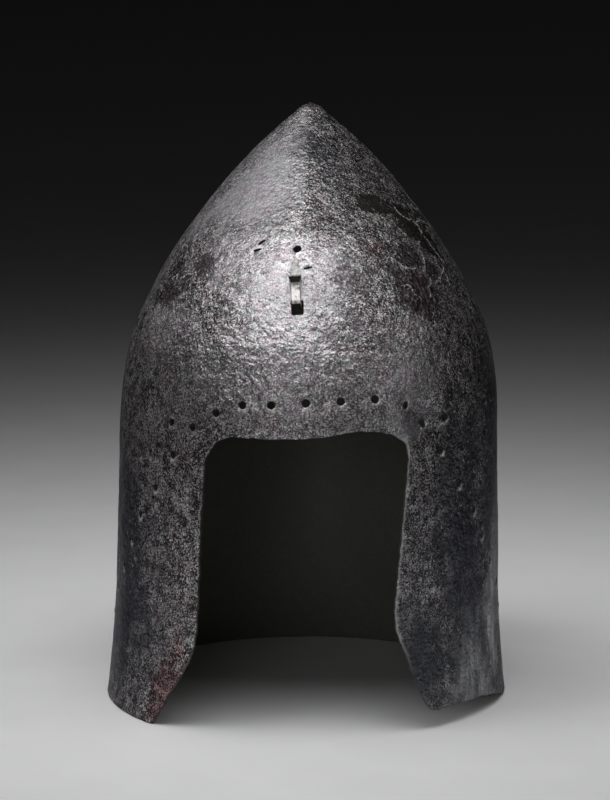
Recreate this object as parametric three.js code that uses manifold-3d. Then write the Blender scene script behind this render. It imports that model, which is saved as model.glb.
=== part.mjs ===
// Barbute: an open-faced iron helmet raised from one plate, with a forged hook clenched through its brow.
// Millimetres, +Z up. The face looks along -Y, the wearer's left is +X, and the rim stands on Z = 0.
import * as THREE from 'three';
import { mergeVertices } from 'three/addons/utils/BufferGeometryUtils.js';
import Module from 'manifold-3d';

const wasm = await Module();
wasm.setup();

// Driving dimensions of the bowl
const HEIGHT = 309.6;
const WALL = 1.6;
const SEAT_GAP = 0.3;

// How finely the bowl is faceted
const COLUMNS = 64;
const ROWS = 30;
const HOLE_SIDES = 8;

// Outside of the bowl, a row for each level. sway is how far the section lies towards the wearer's left.
// face and nape are the reach from the axis to the front and to the back, and keel is how far the round
// section turns into one with a ridge along its middle.
const SECTIONS = [
  { z: 0, sway: 0, half: 105, face: 113, nape: 115, keel: 0 },
  { z: 10, sway: 0.1, half: 103.8, face: 112, nape: 113, keel: 0 },
  { z: 30, sway: 0.4, half: 102, face: 112, nape: 111.5, keel: 0 },
  { z: 60, sway: 0.8, half: 100.2, face: 113, nape: 112, keel: 0 },
  { z: 100, sway: 1.2, half: 99.3, face: 116, nape: 115, keel: 0 },
  { z: 140, sway: 1.6, half: 98.5, face: 117.5, nape: 117, keel: 0 },
  { z: 165, sway: 2, half: 97, face: 116, nape: 116, keel: 0 },
  { z: 190, sway: 2, half: 92.4, face: 110, nape: 111, keel: 0 },
  { z: 215, sway: 2, half: 81.4, face: 97, nape: 100, keel: 0 },
  { z: 240, sway: 2, half: 66.5, face: 78.5, nape: 84, keel: 0.06 },
  { z: 262, sway: 2, half: 50.2, face: 57, nape: 65, keel: 0.26 },
  { z: 282, sway: 2, half: 33, face: 34, nape: 44, keel: 0.36 },
  { z: 297, sway: 2, half: 17.3, face: 14.5, nape: 24.5, keel: 0.36 },
  { z: 305, sway: 2, half: 7.6, face: 3.7, nape: 13.3, keel: 0.3 },
  { z: 308.6, sway: 2, half: 3.1, face: -1.5, nape: 8.5, keel: 0.2 },
  { z: HEIGHT, sway: 2, half: 0, face: -5, nape: 5, keel: 0.2 },
];
const LENS_BULGE = 0.35; // roundness of the two cheeks of a keeled section

// Dents in the plate: turn from the face towards the wearer's left in degrees, height, reach and depth.
const DENTS = [
  { turn: 42, z: 160, reach: 13, depth: 3.2 },
  { turn: 36, z: 148, reach: 9, depth: 1.4 },
];

// The bowl's outside

// A monotone cubic through one column of the sections.
function smoothColumn(name) {
  const z = SECTIONS.map((s) => s.z);
  const v = SECTIONS.map((s) => s[name]);
  const last = z.length - 1;
  const step = v.slice(1).map((_, i) => z[i + 1] - z[i]);
  const rise = step.map((h, i) => (v[i + 1] - v[i]) / h);
  const slope = v.map((_, i) => {
    if (i === 0) return rise[0];
    if (i === last) return rise[last - 1];
    if (rise[i - 1] * rise[i] <= 0) return 0;
    const before = 2 * step[i] + step[i - 1];
    const after = step[i] + 2 * step[i - 1];
    return (before + after) / (before / rise[i - 1] + after / rise[i]);
  });
  return (at) => {
    let i = 0;
    while (i < last - 1 && at > z[i + 1]) i++;
    const h = step[i];
    const t = (at - z[i]) / h;
    const u = 1 - t;
    return (1 + 2 * t) * u * u * v[i] + t * u * u * h * slope[i]
      + t * t * (3 - 2 * t) * v[i + 1] - t * t * u * h * slope[i + 1];
  };
}

const section = {
  sway: smoothColumn('sway'),
  half: smoothColumn('half'),
  face: smoothColumn('face'),
  nape: smoothColumn('nape'),
  keel: smoothColumn('keel'),
};

// The plate before it was dented. The turn is in radians from the face towards +X.
function smoothPoint(turn, z) {
  const across = Math.abs(Math.sin(turn));
  const along = Math.cos(turn);
  const keel = section.keel(z);
  const lens = (1 - across) * (1 + LENS_BULGE * across);
  const reach = (section.face(z) + section.nape(z)) / 2;
  const middle = (section.nape(z) - section.face(z)) / 2;
  const depth = reach * Math.sign(along) * (Math.abs(along) * (1 - keel) + lens * keel);
  return new THREE.Vector3(section.sway(z) + section.half(z) * Math.sin(turn), middle - depth, z);
}

// The outward normal, from short steps round and up the plate.
function bowlNormal(turn, z) {
  const step = 0.01;
  const round = smoothPoint(turn + step, z).sub(smoothPoint(turn - step, z));
  const low = Math.max(z - 1, 0);
  const high = Math.min(z + 1, HEIGHT - 0.5);
  const upward = smoothPoint(turn, high).sub(smoothPoint(turn, low));
  return round.cross(upward).normalize();
}

function dentDepth(point) {
  return DENTS.reduce((depth, dent) => {
    const centre = smoothPoint(THREE.MathUtils.degToRad(dent.turn), dent.z);
    return depth + dent.depth * Math.exp(-point.distanceToSquared(centre) / (dent.reach * dent.reach));
  }, 0);
}

// A point of the plate, sunk below its outside along the normal.
function bowlPoint(turn, z, sunk = 0) {
  const point = smoothPoint(turn, z);
  return point.addScaledVector(bowlNormal(turn, z), -dentDepth(point) - sunk);
}

// Heights that lie evenly along the front outline, from the rim up to just under the apex.
function rowHeights() {
  const samples = 2000;
  const top = HEIGHT - 1.5;
  const outline = [{ z: 0, length: 0 }];
  for (let i = 1; i <= samples; i++) {
    const z = (top * i) / samples;
    const before = outline[i - 1];
    const run = section.half(z) - section.half(before.z);
    outline.push({ z, length: before.length + Math.hypot(run, z - before.z) });
  }
  const whole = outline[samples].length;
  return Array.from({ length: ROWS }, (_, row) => {
    const wanted = (whole * row) / (ROWS - 1);
    return outline.find((o) => o.length >= wanted - 1e-6).z;
  });
}

// Solids from geometry

function solidOf(geometry) {
  const bare = geometry.clone();
  bare.deleteAttribute('normal');
  bare.deleteAttribute('uv');
  const merged = mergeVertices(bare, 1e-4);
  return new wasm.Manifold(new wasm.Mesh({
    numProp: 3,
    vertProperties: new Float32Array(merged.attributes.position.array),
    triVerts: new Uint32Array(merged.index.array),
  }));
}

function geometryOf(solid) {
  const made = solid.getMesh();
  const geometry = new THREE.BufferGeometry();
  geometry.setAttribute('position', new THREE.BufferAttribute(made.vertProperties, 3));
  geometry.setIndex(new THREE.BufferAttribute(made.triVerts, 1));
  geometry.computeVertexNormals();
  return geometry;
}

// Rings of points, closed by a fan to a point above the last ring and by one below the first.
function closedRings(rings, above, below) {
  const points = [...rings.flat(), above, below];
  const top = points.length - 2;
  const bottom = points.length - 1;
  const faces = [];
  const at = (row, column) => row * COLUMNS + (column % COLUMNS);
  for (let c = 0; c < COLUMNS; c++) {
    for (let r = 0; r < rings.length - 1; r++) {
      faces.push(at(r, c), at(r, c + 1), at(r + 1, c + 1));
      faces.push(at(r, c), at(r + 1, c + 1), at(r + 1, c));
    }
    faces.push(at(rings.length - 1, c), at(rings.length - 1, c + 1), top);
    faces.push(at(0, c + 1), at(0, c), bottom);
  }
  return new THREE.BufferGeometry().setFromPoints(points).setIndex(faces);
}

// The plate: the outside less the hollow, both from the same rings
function plate() {
  const below = 10; // how far the hollow runs on past the rim
  const turns = Array.from({ length: COLUMNS }, (_, c) => (2 * Math.PI * c) / COLUMNS);
  const heights = rowHeights();
  const apex = smoothPoint(0, HEIGHT);
  const outside = heights.map((z) => turns.map((turn) => bowlPoint(turn, z)));

  const hollowTop = 3; // rows left off where the hollow narrows to its own point
  const hollow = heights.slice(0, -hollowTop).map((z) => turns.map((turn) => bowlPoint(turn, z, WALL)));
  hollow[0].forEach((point) => point.setZ(0));
  hollow.unshift(hollow[0].map((point) => point.clone().setZ(-below)));
  const hollowApex = apex.clone().setZ(HEIGHT - 2.2 * WALL);

  return solidOf(closedRings(outside, apex, new THREE.Vector3(0, 0, 0)))
    .subtract(solidOf(closedRings(hollow, hollowApex, new THREE.Vector3(0, 0, -below))));
}

// The face opening, seen from the front with x across and y up. Its hand-cut edge isn't quite even.
const BROW = 156;
const FACE_EDGE = { right: -46, left: 54 }; // the wearer's right and left, half way up
const CHEEK_TIP = { right: -73.5, left: 71.5 };
const LEFT_TIP_HEIGHT = 9.5; // the left cheek stops short of the ground

function faceOpening() {
  const below = -5;
  const past = 140;
  const shape = new THREE.Shape();
  shape.moveTo(CHEEK_TIP.right - 4, below);
  shape.lineTo(CHEEK_TIP.right, 0);
  shape.lineTo(FACE_EDGE.right - 9, 32);
  shape.quadraticCurveTo(FACE_EDGE.right - 2.5, 43, FACE_EDGE.right - 2, 58);
  shape.lineTo(FACE_EDGE.right + 2.4, BROW - 21);
  shape.quadraticCurveTo(FACE_EDGE.right + 4, BROW - 2, FACE_EDGE.right + 19, BROW - 1.2);
  shape.quadraticCurveTo(6, BROW - 2, 22, BROW + 0.8);
  shape.quadraticCurveTo(FACE_EDGE.left - 9, BROW + 4, FACE_EDGE.left + 0.6, BROW - 4);
  shape.quadraticCurveTo(FACE_EDGE.left + 4, BROW - 7.5, FACE_EDGE.left + 3.2, BROW - 16);
  shape.lineTo(FACE_EDGE.left - 2.6, 72);
  shape.quadraticCurveTo(FACE_EDGE.left - 4, 58, FACE_EDGE.left - 0.5, 49);
  shape.lineTo(CHEEK_TIP.left - 6, 17);
  shape.quadraticCurveTo(CHEEK_TIP.left - 3, LEFT_TIP_HEIGHT, CHEEK_TIP.left + 2, LEFT_TIP_HEIGHT);
  shape.quadraticCurveTo(CHEEK_TIP.left + 28, LEFT_TIP_HEIGHT + 3, CHEEK_TIP.left + 33.5, 0);
  shape.lineTo(CHEEK_TIP.left + 34.5, below);
  const cutter = new THREE.ExtrudeGeometry(shape, { depth: past, bevelEnabled: false, curveSegments: 6 });
  return solidOf(cutter.rotateX(Math.PI / 2));
}

// Holes for the lining's stitches: turn from the face in degrees and height.
const HOLE_RADIUS = 2;
const BROW_HOLES = [
  { turn: -40.5, z: 158 },
  { turn: -32, z: 157.5 },
  { turn: -24, z: 166 },
  { turn: -15.5, z: 171 },
  { turn: -6.7, z: 171.7 },
  { turn: 3.5, z: 173 },
  { turn: 13.8, z: 173.5 },
  { turn: 24.3, z: 173.6 },
  { turn: 35, z: 169.7 },
  { turn: 42.6, z: 159 },
  { turn: 49.5, z: 160 },
];
// From the brow the row slopes down each cheek towards the rim, as turns to either side of the face.
const CHEEK_HOLES = [
  { turn: 39, z: 142 },
  { turn: 46.7, z: 123 },
  { turn: 54.9, z: 106.5 },
  { turn: 60.2, z: 91.5 },
  { turn: 67.1, z: 75 },
  { turn: 75.1, z: 60.5 },
  { turn: 84, z: 46 },
  { turn: 93, z: 32 },
  { turn: 102.5, z: 21 },
];
const LEFT_CHEEK_SHIFT = { turn: 8, z: 2 }; // the row lies further back on the wearer's left

function liningHoles() {
  const shift = LEFT_CHEEK_SHIFT;
  const rightCheek = CHEEK_HOLES.map(({ turn, z }) => ({ turn: -turn, z }));
  const leftCheek = CHEEK_HOLES.map(({ turn, z }) => ({ turn: turn + shift.turn, z: z + shift.z }));
  return [...BROW_HOLES, ...rightCheek, ...leftCheek];
}

// A cutter through the plate, along its normal. A crack is a hole stretched along its length and leaned over.
function throughPlate({ turn, z, radius = HOLE_RADIUS, stretch = 1, lean = 0 }) {
  const angle = THREE.MathUtils.degToRad(turn);
  const outward = bowlNormal(angle, z);
  const cutter = new THREE.CylinderGeometry(radius, radius, 16, HOLE_SIDES);
  cutter.scale(stretch, 1, 1).rotateY(THREE.MathUtils.degToRad(lean));
  const across = new THREE.Vector3(0, 0, 1).cross(outward).normalize();
  const frame = new THREE.Matrix4().makeBasis(across, outward, across.clone().cross(outward));
  return solidOf(cutter.applyMatrix4(frame.setPosition(bowlPoint(angle, z))));
}

// Cracks beside the hook and the empty rivet hole above it
const RIVET_HOLE = { turn: -1, z: 244, radius: 2 };
const CRACKS = [
  { turn: -17.6, z: 246.4, radius: 0.7, stretch: 2.9, lean: 50 },
  { turn: -18.9, z: 242.8, radius: 0.7, stretch: 3.1, lean: 24 },
  { turn: 3.8, z: 235.4, radius: 0.5, stretch: 4.4, lean: 14 },
];

// The brow hook: one bent strip. It comes out of a slot in the plate, lies up along it, steps outwards and
// ends in a nose that leans back to the plate. Behind the slot it is clenched flat against the inside.
const HOOK_TURN = -0.75;
const HOOK_Z = 228;
const HOOK_LEAN = 5; // degrees, its foot towards the wearer's left
const HOOK_WIDTH = { top: 2.6, nose: 6.8, strip: 4.6 };
const HOOK_NOSE = 8.9; // how far the nose stands out
const HOOK_SLOT = { width: 6, top: -9.3, bottom: -17.2, aside: 0.4 }; // its lower end stays empty

// The strip from the side, with x out from the plate and y up along it.
function hookSide() {
  const inside = -WALL - SEAT_GAP;
  return new THREE.Shape([
    new THREE.Vector2(SEAT_GAP, 13.2),
    new THREE.Vector2(2.2, 12.6),
    new THREE.Vector2(HOOK_NOSE, 1.4),
    new THREE.Vector2(HOOK_NOSE - 0.5, 0),
    new THREE.Vector2(2.9, -0.4),
    new THREE.Vector2(2.6, -10.6),
    new THREE.Vector2(1.6, -11.9),
    new THREE.Vector2(inside - 1.7, -11.9),
    new THREE.Vector2(inside - 2.4, -11.2),
    new THREE.Vector2(inside - 2.1, 1),
    new THREE.Vector2(inside - 0.1, 1.2),
    new THREE.Vector2(inside - 0.4, -9.6),
    new THREE.Vector2(0, -9.6),
    new THREE.Vector2(SEAT_GAP, 2),
    new THREE.Vector2(HOOK_NOSE - 3.2, 2.4),
    new THREE.Vector2(SEAT_GAP + 0.3, 10.6),
  ]);
}

// The strip from the front, with x across and y up along the plate.
function hookFront() {
  const leftSide = [
    new THREE.Vector2(HOOK_WIDTH.strip / 2, -14),
    new THREE.Vector2(HOOK_WIDTH.strip / 2, -0.4),
    new THREE.Vector2(HOOK_WIDTH.nose / 2, 0),
    new THREE.Vector2(HOOK_WIDTH.nose / 2, 1.4),
    new THREE.Vector2(HOOK_WIDTH.top / 2, 15),
  ];
  const rightSide = leftSide.map(({ x, y }) => new THREE.Vector2(-x, y)).reverse();
  return new THREE.Shape([...leftSide, ...rightSide]);
}

// In the hook's own frame x is across, y is up along the plate and z is out of it.
function hookSolid() {
  const reach = 30;
  const straight = { bevelEnabled: false, depth: reach };
  const side = new THREE.ExtrudeGeometry(hookSide(), straight);
  side.translate(0, 0, -reach / 2).rotateY(-Math.PI / 2);
  const front = new THREE.ExtrudeGeometry(hookFront(), straight).translate(0, 0, -reach / 2);
  return solidOf(side).intersect(solidOf(front));
}

function hookSlot() {
  const { width, top, bottom, aside } = HOOK_SLOT;
  const cutter = new THREE.BoxGeometry(width, top - bottom, 12);
  return solidOf(cutter.translate(aside, (top + bottom) / 2, 0).applyMatrix4(hookFrame()));
}

function hookFrame() {
  const angle = THREE.MathUtils.degToRad(HOOK_TURN);
  const outward = bowlNormal(angle, HOOK_Z);
  const across = new THREE.Vector3(0, 0, 1).cross(outward).normalize();
  const frame = new THREE.Matrix4().makeBasis(across, outward.clone().cross(across), outward);
  frame.multiply(new THREE.Matrix4().makeRotationZ(THREE.MathUtils.degToRad(HOOK_LEAN)));
  return frame.setPosition(bowlPoint(angle, HOOK_Z));
}

// The assembly

function bowl() {
  const holes = [...liningHoles(), RIVET_HOLE, ...CRACKS];
  return holes.map(throughPlate).reduce(
    (solid, hole) => solid.subtract(hole), plate().subtract(faceOpening()).subtract(hookSlot()));
}

const iron = new THREE.MeshStandardMaterial({ color: 0x3d393a, roughness: 0.5, metalness: 0.9 });
const hookIron = new THREE.MeshStandardMaterial({ color: 0x4a4545, roughness: 0.4, metalness: 0.9 });

const bowlMesh = new THREE.Mesh(geometryOf(bowl()), iron);
bowlMesh.name = 'bowl';

const hookMesh = new THREE.Mesh(geometryOf(hookSolid()), hookIron);
hookMesh.name = 'brow_hook';
const hookSeat = new THREE.Group();
hookSeat.applyMatrix4(hookFrame());
hookSeat.add(hookMesh);

const barbute = new THREE.Group();
barbute.add(bowlMesh, hookSeat);

export default barbute;
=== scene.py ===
"""Dresses the barbute: the dark pitted plate, the forged brow hook, and a plain studio round them."""

import math

import bmesh
import bpy
import numpy as np
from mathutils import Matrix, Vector, noise
from mathutils.geometry import delaunay_2d_cdt
from mathutils.kdtree import KDTree


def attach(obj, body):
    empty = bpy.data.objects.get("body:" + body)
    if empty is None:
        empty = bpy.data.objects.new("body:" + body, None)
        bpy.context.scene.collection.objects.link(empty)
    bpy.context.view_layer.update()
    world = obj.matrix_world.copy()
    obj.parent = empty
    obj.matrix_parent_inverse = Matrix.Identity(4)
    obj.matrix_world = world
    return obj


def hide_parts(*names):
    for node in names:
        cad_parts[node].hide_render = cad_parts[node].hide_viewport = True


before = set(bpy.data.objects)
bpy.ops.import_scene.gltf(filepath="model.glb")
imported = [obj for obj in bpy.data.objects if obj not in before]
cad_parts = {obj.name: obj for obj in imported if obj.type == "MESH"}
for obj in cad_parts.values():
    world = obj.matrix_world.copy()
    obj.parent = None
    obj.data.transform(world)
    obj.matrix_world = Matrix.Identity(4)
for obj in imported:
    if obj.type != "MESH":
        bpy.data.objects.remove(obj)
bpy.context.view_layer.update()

MM = 0.001  # shapes are worked out in millimetres and made in metres

# The plate's outside
HEIGHT = 309.6
WALL = 1.6
SEAT_GAP = 0.3  # between the hook and the plate
LENS_BULGE = 0.35  # roundness of the two sides of a keeled section
# Level, sway to the wearer's left, half width, reach to the face, reach to the nape, share of keel.
SECTIONS = np.array([
    (0, 0, 105, 113, 115, 0),
    (10, 0.1, 103.8, 112, 113, 0),
    (30, 0.4, 102, 112, 111.5, 0),
    (60, 0.8, 100.2, 113, 112, 0),
    (100, 1.2, 99.3, 116, 115, 0),
    (140, 1.6, 98.5, 117.5, 117, 0),
    (165, 2, 97, 116, 116, 0),
    (190, 2, 92.4, 110, 111, 0),
    (215, 2, 81.4, 97, 100, 0),
    (240, 2, 66.5, 78.5, 84, 0.06),
    (262, 2, 50.2, 57, 65, 0.26),
    (282, 2, 33, 34, 44, 0.36),
    (297, 2, 17.3, 14.5, 24.5, 0.36),
    (305, 2, 7.6, 3.7, 13.3, 0.3),
    (308.6, 2, 3.1, -1.5, 8.5, 0.2),
    (HEIGHT, 2, 0, -5, 5, 0.2),
], float)
# Dents: turn in degrees from the face to the wearer's left, level, reach and depth.
DENTS = (
    (42, 160, 13, 3.2),
    (36, 148, 9, 1.4),
)
# Creases in the dented corner, as rows of small dents. A depth below zero stands out.
CREASES = (
    (37, 167.2, 5.5, 1.5),
    (40.5, 164.2, 6, 1.9),
    (44.5, 162, 5.5, 1.5),
    (35.5, 150, 8, -2.4),
    (41, 151, 6, -1.2),
)

# The face opening from the front, from the right cheek's tip over the brow to the left side, as x and z.
# A row of one point is a straight line to it. In a row of two, the first one bends the way to the second.
BROW = 156
RIGHT_EDGE = -46
LEFT_EDGE = 54
RIGHT_TIP = -73.5
LEFT_TIP = 71.5
LEFT_TIP_HEIGHT = 9.5
OPENING = (
    ((RIGHT_TIP, 0),),
    ((RIGHT_EDGE - 9, 32),),
    ((RIGHT_EDGE - 2.5, 43), (RIGHT_EDGE - 2, 58)),
    ((RIGHT_EDGE + 2.4, BROW - 21),),
    ((RIGHT_EDGE + 4, BROW - 2), (RIGHT_EDGE + 19, BROW - 1.2)),
    ((6, BROW - 2), (22, BROW + 0.8)),
    ((LEFT_EDGE - 9, BROW + 4), (LEFT_EDGE + 0.6, BROW - 4)),
    ((LEFT_EDGE + 4, BROW - 7.5), (LEFT_EDGE + 3.2, BROW - 16)),
    ((LEFT_EDGE - 2.6, 72),),
    ((LEFT_EDGE - 4, 58), (LEFT_EDGE - 0.5, 49)),
    ((LEFT_TIP - 6, 17),),
    ((LEFT_TIP - 3, LEFT_TIP_HEIGHT), (LEFT_TIP + 2, LEFT_TIP_HEIGHT)),
    ((LEFT_TIP + 28, LEFT_TIP_HEIGHT + 3), (LEFT_TIP + 33.5, 0)),
)

# Holes for the lining's stitches, as turn and level
HOLE_RADIUS = 2
BROW_HOLES = (
    (-40.5, 158), (-32, 157.5), (-24, 166), (-15.5, 171), (-6.7, 171.7), (3.5, 173),
    (13.8, 173.5), (24.3, 173.6), (35, 169.7), (42.6, 159), (49.5, 160),
)
CHEEK_HOLES = (
    (39, 142), (46.7, 123), (54.9, 106.5), (60.2, 91.5), (67.1, 75), (75.1, 60.5), (84, 46), (93, 32),
    (102.5, 21),
)
LEFT_CHEEK_SHIFT = (8, 2)  # the row lies further back on the wearer's left
RIVET_HOLE = (-1, 244)
# Cracks: turn, level, half width, length over width, lean in degrees.
CRACKS = (
    (-17.6, 246.4, 0.7, 2.9, 50),
    (-18.9, 242.8, 0.7, 3.1, 24),
    (3.8, 235.4, 0.5, 4.4, 14),
)

# The brow hook's place and its slot in the plate
HOOK_TURN = -0.75
HOOK_LEVEL = 228
HOOK_LEAN = 5
SLOT_WIDTH = 6
SLOT_TOP = -9.3
SLOT_BOTTOM = -17.2
SLOT_ASIDE = 0.4

# How finely the plate is meshed: spacings in millimetres and counts of points
OUTER_SPACING = 1.75
INNER_SPACING = 4
EDGE_SPACING = 1
SLOT_SPACING = 0.9
HOLE_POINTS = 14
BEND_POINTS = 40  # in each bend of the opening
RIM_POINTS = 900  # round the back, before the free edge is spaced evenly

# How far the edges are rounded, and how ragged the free edge is
FREE_EDGE_ROUND = 0.4
HOLE_EDGE_ROUND = 0.4
EDGE_RAGGED = 0.5


# The surface

def column_curve(column):
    """A monotone cubic through one column of the sections."""
    levels = SECTIONS[:, 0]
    values = SECTIONS[:, column]
    step = np.diff(levels)
    rise = np.diff(values) / step
    slope = np.zeros(len(values))
    slope[0] = rise[0]
    slope[-1] = rise[-1]
    for i in range(1, len(values) - 1):
        if rise[i - 1] * rise[i] > 0:
            before = 2 * step[i] + step[i - 1]
            after = step[i] + 2 * step[i - 1]
            slope[i] = (before + after) / (before / rise[i - 1] + after / rise[i])

    def curve(z):
        i = np.clip(np.searchsorted(levels, z) - 1, 0, len(step) - 1)
        t = (z - levels[i]) / step[i]
        u = 1 - t
        return ((1 + 2 * t) * u * u * values[i] + t * u * u * step[i] * slope[i]
                + t * t * (3 - 2 * t) * values[i + 1] - t * t * u * step[i] * slope[i + 1])

    return curve


sway, half, face, nape, keel = (column_curve(column) for column in range(1, 6))


def reach(z):
    """Half the plate's length from face to nape."""
    return (face(z) + nape(z)) / 2


def smooth_point(turn, z):
    """The plate before it was dented. The turn is in radians from the face towards +X."""
    across = np.abs(np.sin(turn))
    along = np.cos(turn)
    lens = (1 - across) * (1 + LENS_BULGE * across)
    depth = reach(z) * np.sign(along) * (np.abs(along) * (1 - keel(z)) + lens * keel(z))
    middle = (nape(z) - face(z)) / 2
    return np.stack(np.broadcast_arrays(sway(z) + half(z) * np.sin(turn), middle - depth, z), axis=-1)


def unit(vectors):
    return vectors / np.linalg.norm(vectors, axis=-1, keepdims=True)


def plate_normal(turn, z):
    """Outward normal, from short steps round and up the plate."""
    turn_step = 0.01
    level_step = 1
    round_it = smooth_point(turn + turn_step, z) - smooth_point(turn - turn_step, z)
    low = np.maximum(z - level_step, 0)
    high = np.minimum(z + level_step, HEIGHT - level_step / 2)
    upward = smooth_point(turn, high) - smooth_point(turn, low)
    return unit(np.cross(round_it, upward))


def dent_depth(points):
    """How far the dents push the plate in."""
    depth = np.zeros(len(points))
    for turn, z, spread, deep in (*DENTS, *CREASES):
        centre = smooth_point(math.radians(turn), float(z))
        depth += deep * np.exp(-((points - centre) ** 2).sum(axis=1) / spread ** 2)
    return depth


def dented_point(turn, z):
    points = smooth_point(turn, z)
    return points - plate_normal(turn, z) * dent_depth(points)[:, None]


def locate(points):
    """Turn and level of points that lie on the plate."""
    z = np.clip(points[:, 2], 0, HEIGHT)
    middle = (nape(z) - face(z)) / 2
    turn = np.arctan2((points[:, 0] - sway(z)) / half(z), (middle - points[:, 1]) / reach(z))
    return turn, z


def tangents(turn, z):
    """A place on the plate with the directions across it, up along it and out of it."""
    turn = np.array([math.radians(turn)])
    z = np.array([float(z)])
    out = plate_normal(turn, z)[0]
    across = unit(np.cross((0, 0, 1), out))
    return dented_point(turn, z)[0], across, np.cross(out, across), out


# A flat chart of the plate, seen from above, that keeps its angles

CHART_LEVELS = 1600
CHART_STOP = 0.4  # how far below the point the chart stops
LEVELS = np.linspace(0, HEIGHT - CHART_STOP, CHART_LEVELS)
MEAN_RADIUS = np.sqrt(half(LEVELS) * reach(LEVELS))
RUN = np.hypot(np.diff(LEVELS), np.diff(MEAN_RADIUS))
CLIMB = np.concatenate([[0], np.cumsum(RUN)])
SHRINK = np.concatenate([[0], np.cumsum(2 * RUN / (MEAN_RADIUS[1:] + MEAN_RADIUS[:-1]))])


def chart(turn, z):
    """Places on the chart, whose middle is the plate's point."""
    radius = np.exp(-np.interp(z, LEVELS, SHRINK))
    return np.stack([radius * np.sin(turn), -radius * np.cos(turn)], axis=-1)


def inside(polygon, points):
    """Which points lie inside a polygon of the chart."""
    found = np.zeros(len(points), bool)
    x, y = points.T
    for (ax, ay), (bx, by) in zip(polygon, np.roll(polygon, -1, axis=0)):
        if ay != by:
            crosses = (ay > y) != (by > y)
            found ^= crosses & (x < ax + (y - ay) * (bx - ax) / (by - ay))
    return found


# Loops round the plate's edges. Each one runs with the metal on its left, seen from outside.

def resampled(points, spacing, closed=True):
    """The line through points, at even steps, as places along the original points."""
    line = np.vstack([points, points[:1]]) if closed else points
    length = np.concatenate([[0], np.cumsum(np.linalg.norm(np.diff(line, axis=0), axis=1))])
    least_count = 4
    count = max(least_count, round(length[-1] / spacing))
    steps = np.linspace(0, length[-1], count, endpoint=not closed)
    return np.interp(steps, length, np.arange(len(line)))


def even_line(corners, spacing, closed=True):
    """Points at even steps along the line through some corners."""
    places = resampled(corners, spacing, closed)
    line = np.vstack([corners, corners[:1]]) if closed else corners
    return np.stack([np.interp(places, np.arange(len(line)), column) for column in line.T], axis=-1)


def opening_outline():
    """The face opening as points of x and z."""
    points = [OPENING[0][0]]
    for row in OPENING[1:]:
        start = np.array(points[-1])
        end = np.array(row[-1])
        bend = np.array(row[0]) if len(row) == 2 else (start + end) / 2
        for t in np.linspace(0, 1, BEND_POINTS)[1:]:
            points.append(tuple((1 - t) ** 2 * start + 2 * t * (1 - t) * bend + t * t * end))
    return np.array(points)


def turn_of(x, z):
    """The turn at which the front of the dented plate has that x."""
    rounds = 4
    least_slope = 0.3  # keeps the steps short at the sides of the plate
    turn = np.arcsin(np.clip((x - sway(z)) / half(z), -1, 1))
    for _ in range(rounds):
        miss = x - dented_point(turn, z)[:, 0]
        turn = turn + miss / (half(z) * np.maximum(np.cos(turn), least_slope))
    return np.clip(turn, -math.pi / 2, math.pi / 2)


def free_edge():
    """The rim round the back, then the face opening."""
    x, z = opening_outline().T
    opening = turn_of(x, z)
    rim = np.linspace(opening[-1], opening[0] + 2 * math.pi, RIM_POINTS)[1:-1]
    turn = np.concatenate([rim, opening + 2 * math.pi])
    level = np.concatenate([np.zeros(len(rim)), z])
    points = dented_point(turn, level)
    places = resampled(points, EDGE_SPACING)
    across = np.append(turn, turn[0] + 2 * math.pi)
    level = np.append(level, level[0])
    return np.interp(places, np.arange(len(across)), across), np.interp(places, np.arange(len(level)), level)


def round_loop(turn, z, radius, stretch=1.0, lean=0.0):
    """A hole, or a crack if it is stretched."""
    centre, across, up, _ = tangents(turn, z)
    lean = math.radians(lean)
    angles = -np.arange(HOLE_POINTS) * 2 * math.pi / HOLE_POINTS
    along = radius * stretch * np.cos(angles)
    aside = radius * np.sin(angles)
    right = along * math.cos(lean) - aside * math.sin(lean)
    high = along * math.sin(lean) + aside * math.cos(lean)
    return locate(centre + np.outer(right, across) + np.outer(high, up))


def hook_frame():
    """The hook's origin on the plate, with the directions across it, up along the plate and out of it."""
    origin, across, up, out = tangents(HOOK_TURN, HOOK_LEVEL)
    lean = math.radians(HOOK_LEAN)
    leaned_across = across * math.cos(lean) + up * math.sin(lean)
    leaned_up = up * math.cos(lean) - across * math.sin(lean)
    return origin, leaned_across, leaned_up, out


def slot_loop():
    """The hook's slot, a rectangle in the hook's frame."""
    origin, across, up, _ = hook_frame()
    left, right = SLOT_ASIDE - SLOT_WIDTH / 2, SLOT_ASIDE + SLOT_WIDTH / 2
    corners = np.array([(left, SLOT_TOP), (right, SLOT_TOP), (right, SLOT_BOTTOM), (left, SLOT_BOTTOM)])
    aside, high = even_line(corners, SLOT_SPACING).T
    return locate(origin + np.outer(aside, across) + np.outer(high, up))


def hole_places():
    """Turn and level of every round hole, the brow's first."""
    right_cheek = [(-turn, z) for turn, z in CHEEK_HOLES]
    left_cheek = [(turn + LEFT_CHEEK_SHIFT[0], z + LEFT_CHEEK_SHIFT[1]) for turn, z in CHEEK_HOLES]
    return [*BROW_HOLES, *right_cheek, *left_cheek, RIVET_HOLE]


def plate_loops():
    """Each loop as its turns, its levels and how far its edge is rounded. The free edge comes first."""
    loops = [(*free_edge(), FREE_EDGE_ROUND)]
    for turn, z in hole_places():
        loops.append((*round_loop(turn, z, HOLE_RADIUS), HOLE_EDGE_ROUND))
    for turn, z, width, stretch, lean in CRACKS:
        loops.append((*round_loop(turn, z, width, stretch, lean), HOLE_EDGE_ROUND / 2))
    loops.append((*slot_loop(), HOLE_EDGE_ROUND / 2))
    return loops


# Relief

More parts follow.
